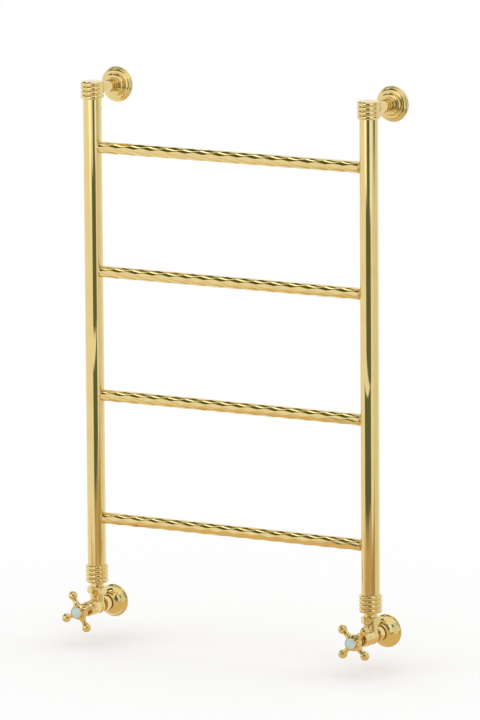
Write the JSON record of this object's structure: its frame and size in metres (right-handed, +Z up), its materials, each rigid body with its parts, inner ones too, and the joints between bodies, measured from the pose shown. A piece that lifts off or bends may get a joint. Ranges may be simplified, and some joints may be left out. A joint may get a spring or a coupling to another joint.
{
  "type": "water-heated towel rail",
  "caption": "Wall-hung water-heated towel rail in polished brass with twisted rungs, beaded collars and cross-head valves.",
  "frame": {"origin": "middle of the four wall screws' pattern on the wall plane, level with the top collars' middle", "axes": "+X to the right seen from the room, +Y into the wall, +Z up"},
  "size_m": [0.6142, 0.159, 0.9742],
  "materials": {
    "polished_brass": "polished",
    "plain_brass": "as machined",
    "steel": "plain",
    "glazed_ceramic": "glossy white glaze",
    "rubber": "matt",
    "fibre": "pressed fibre"
  },
  "bodies": {
    "rail": {"rung_1": "polished_brass", "rung_2": "polished_brass", "rung_3": "polished_brass", "rung_4": "polished_brass", "stem_grub_screws": "steel", "left_upright": "polished_brass", "left_top_collar": "polished_brass", "left_bottom_collar": "polished_brass", "left_bracket_stem": "polished_brass", "left_wall_plate": "plain_brass", "left_air_vent": "polished_brass", "left_valve_tail": "polished_brass", "left_union_nut": "polished_brass", "left_union_washer": "fibre", "left_valve_body": "polished_brass", "left_headwork": "plain_brass", "left_headwork_shroud": "polished_brass", "left_spindle_packing": "fibre", "left_gland_nut": "plain_brass", "left_compression_nut": "polished_brass", "left_olive": "plain_brass", "left_supply_pipe": "polished_brass", "right_upright": "polished_brass", "right_top_collar": "polished_brass", "right_bottom_collar": "polished_brass", "right_bracket_stem": "polished_brass", "right_wall_plate": "plain_brass", "right_air_vent": "polished_brass", "right_valve_tail": "polished_brass", "right_union_nut": "polished_brass", "right_union_washer": "fibre", "right_valve_body": "polished_brass", "right_headwork": "plain_brass", "right_headwork_shroud": "polished_brass", "right_spindle_packing": "fibre", "right_gland_nut": "plain_brass", "right_compression_nut": "polished_brass", "right_olive": "plain_brass", "right_supply_pipe": "polished_brass"},
    "left_handle": {"left_spindle": "plain_brass", "left_cross_handle": "polished_brass", "left_handle_screw": "steel", "left_index_button": "glazed_ceramic"},
    "left_plug": {"left_valve_plug": "plain_brass", "left_plug_washer": "rubber"},
    "left_rose": {"left_wall_rose": "polished_brass"},
    "left_bell": {"left_bell_escutcheon": "polished_brass"},
    "left_bleed_screw": {"left_vent_screw": "plain_brass"},
    "right_handle": {"right_spindle": "plain_brass", "right_cross_handle": "polished_brass", "right_handle_screw": "steel", "right_index_button": "glazed_ceramic"},
    "right_plug": {"right_valve_plug": "plain_brass", "right_plug_washer": "rubber"},
    "right_rose": {"right_wall_rose": "polished_brass"},
    "right_bell": {"right_bell_escutcheon": "polished_brass"},
    "right_bleed_screw": {"right_vent_screw": "plain_brass"}
  },
  "joints": [
    {"name": "left_handle_turn", "type": "hinge", "parent": "rail", "child": "left_handle", "pos_m": [-0.274, -0.086, -0.908], "axis": [0, -1, 0], "range_deg": [0, 864]},
    {"name": "left_plug_lift", "type": "slide", "parent": "rail", "child": "left_plug", "axis": [0, -1, 0], "range_m": [0, 0.0048]},
    {"name": "left_rose_slide", "type": "slide", "parent": "rail", "child": "left_rose", "axis": [0, -1, 0], "range_m": [0, 0.036]},
    {"name": "left_bell_slide", "type": "slide", "parent": "rail", "child": "left_bell", "axis": [0, 1, 0], "range_m": [0, 0.0285]},
    {"name": "left_bleed_turn", "type": "hinge", "parent": "rail", "child": "left_bleed_screw", "pos_m": [-0.274, -0.086, -0.034], "axis": [0, 1, 0], "range_deg": [0, 360]},
    {"name": "right_handle_turn", "type": "hinge", "parent": "rail", "child": "right_handle", "pos_m": [0.274, -0.086, -0.908], "axis": [0, -1, 0], "range_deg": [0, 864]},
    {"name": "right_plug_lift", "type": "slide", "parent": "rail", "child": "right_plug", "axis": [0, -1, 0], "range_m": [0, 0.0048]},
    {"name": "right_rose_slide", "type": "slide", "parent": "rail", "child": "right_rose", "axis": [0, -1, 0], "range_m": [0, 0.036]},
    {"name": "right_bell_slide", "type": "slide", "parent": "rail", "child": "right_bell", "axis": [0, 1, 0], "range_m": [0, 0.0285]},
    {"name": "right_bleed_turn", "type": "hinge", "parent": "rail", "child": "right_bleed_screw", "pos_m": [0.274, -0.086, -0.034], "axis": [0, 1, 0], "range_deg": [0, 360]}
  ],
  "couplings": [
    {"joint": "left_plug_lift", "follows": "left_handle_turn", "m_per_rad": 0.00031831},
    {"joint": "right_plug_lift", "follows": "right_handle_turn", "m_per_rad": 0.00031831}
  ]
}
